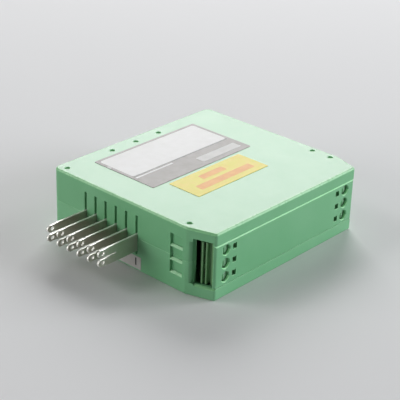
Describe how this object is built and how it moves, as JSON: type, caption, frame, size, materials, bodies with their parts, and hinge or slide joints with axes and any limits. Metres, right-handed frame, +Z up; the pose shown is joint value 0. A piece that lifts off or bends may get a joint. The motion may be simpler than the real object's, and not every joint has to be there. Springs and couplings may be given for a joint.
{
  "type": "signal isolator",
  "caption": "Plug-in signal isolator: flat green plastic housing with screw terminals behind a front cover and a row of forked contact blades on one side",
  "frame": {"origin": "The middle of the flat face that the housing rests on", "axes": "+X from the contact blades to the far side, +Y from the terminal front to the back, +Z up through the thickness"},
  "size_m": [0.0988, 0.0748, 0.0251],
  "materials": {
    "housing_green": "moulded, fine satin",
    "terminal_green": "moulded, satin",
    "screw_steel": "zinc plated",
    "clamp_metal": "plated",
    "tinned_blade": "bright tin plate",
    "black_plastic": "moulded",
    "board_laminate": "solder resist",
    "ferrite": "sintered",
    "copper_wire": "enamelled",
    "can_sleeve": "shrunk sleeve",
    "white_plastic": "moulded",
    "red_resin": "dipped",
    "resistor_body": "lacquered",
    "label_paper": "printed",
    "sticker_paper": "printed"
  },
  "bodies": {
    "housing": {"lower_shell": "housing_green", "upper_shell": "housing_green", "front_cover": "housing_green", "left_terminal_block": "terminal_green", "right_terminal_block": "terminal_green", "contact_bar_1": "clamp_metal", "contact_bar_2": "clamp_metal", "contact_bar_3": "clamp_metal", "contact_bar_4": "clamp_metal", "contact_bar_5": "clamp_metal", "contact_bar_6": "clamp_metal", "contact_blade_1": "tinned_blade", "contact_blade_2": "tinned_blade", "contact_blade_3": "tinned_blade", "contact_blade_4": "tinned_blade", "contact_blade_5": "tinned_blade", "contact_blade_6": "tinned_blade", "blade_carrier": "black_plastic", "bobbin": "black_plastic", "bridge_rectifier": "black_plastic", "voltage_regulator": "black_plastic", "isolation_chip": "black_plastic", "amplifier_chip": "black_plastic", "diodes": "black_plastic", "main_board": "board_laminate", "core_front": "ferrite", "core_back": "ferrite", "primary_winding": "copper_wire", "secondary_winding": "copper_wire", "input_capacitor": "can_sleeve", "output_capacitor": "can_sleeve", "optocoupler": "white_plastic", "film_capacitors": "red_resin", "resistors": "resistor_body", "rating_label": "label_paper", "number_strip": "label_paper", "coloured_sticker": "sticker_paper"},
    "screw_1": {"clamp_screw_1": "screw_steel"},
    "cage_1": {"clamp_cage_1": "clamp_metal"},
    "screw_2": {"clamp_screw_2": "screw_steel"},
    "cage_2": {"clamp_cage_2": "clamp_metal"},
    "screw_3": {"clamp_screw_3": "screw_steel"},
    "cage_3": {"clamp_cage_3": "clamp_metal"},
    "screw_4": {"clamp_screw_4": "screw_steel"},
    "cage_4": {"clamp_cage_4": "clamp_metal"},
    "screw_5": {"clamp_screw_5": "screw_steel"},
    "cage_5": {"clamp_cage_5": "clamp_metal"},
    "screw_6": {"clamp_screw_6": "screw_steel"},
    "cage_6": {"clamp_cage_6": "clamp_metal"}
  },
  "joints": [
    {"name": "cage_1_lift", "type": "slide", "parent": "housing", "child": "cage_1", "axis": [0, -1, 0], "range_m": [0, 0.0016]},
    {"name": "screw_1_turn", "type": "hinge", "parent": "housing", "child": "screw_1", "pos_m": [-0.03215, -0.0343, 0.0075], "axis": [0, 1, 0], "range_deg": [0, 1281]},
    {"name": "cage_2_lift", "type": "slide", "parent": "housing", "child": "cage_2", "axis": [0, -1, 0], "range_m": [0, 0.0016]},
    {"name": "screw_2_turn", "type": "hinge", "parent": "housing", "child": "screw_2", "pos_m": [-0.03215, -0.0343, 0.0125], "axis": [0, 1, 0], "range_deg": [0, 1281]},
    {"name": "cage_3_lift", "type": "slide", "parent": "housing", "child": "cage_3", "axis": [0, -1, 0], "range_m": [0, 0.0016]},
    {"name": "screw_3_turn", "type": "hinge", "parent": "housing", "child": "screw_3", "pos_m": [-0.03215, -0.0343, 0.0175], "axis": [0, 1, 0], "range_deg": [0, 1281]},
    {"name": "cage_4_lift", "type": "slide", "parent": "housing", "child": "cage_4", "axis": [0, -1, 0], "range_m": [0, 0.0016]},
    {"name": "screw_4_turn", "type": "hinge", "parent": "housing", "child": "screw_4", "pos_m": [0.03215, -0.0343, 0.0075], "axis": [0, 1, 0], "range_deg": [0, 1281]},
    {"name": "cage_5_lift", "type": "slide", "parent": "housing", "child": "cage_5", "axis": [0, -1, 0], "range_m": [0, 0.0016]},
    {"name": "screw_5_turn", "type": "hinge", "parent": "housing", "child": "screw_5", "pos_m": [0.03215, -0.0343, 0.0125], "axis": [0, 1, 0], "range_deg": [0, 1281]},
    {"name": "cage_6_lift", "type": "slide", "parent": "housing", "child": "cage_6", "axis": [0, -1, 0], "range_m": [0, 0.0016]},
    {"name": "screw_6_turn", "type": "hinge", "parent": "housing", "child": "screw_6", "pos_m": [0.03215, -0.0343, 0.0175], "axis": [0, 1, 0], "range_deg": [0, 1281]}
  ],
  "couplings": [
    {"joint": "screw_1_turn", "follows": "cage_1_lift", "rad_per_m": 13963},
    {"joint": "screw_2_turn", "follows": "cage_2_lift", "rad_per_m": 13963},
    {"joint": "screw_3_turn", "follows": "cage_3_lift", "rad_per_m": 13963},
    {"joint": "screw_4_turn", "follows": "cage_4_lift", "rad_per_m": 13963},
    {"joint": "screw_5_turn", "follows": "cage_5_lift", "rad_per_m": 13963},
    {"joint": "screw_6_turn", "follows": "cage_6_lift", "rad_per_m": 13963}
  ]
}
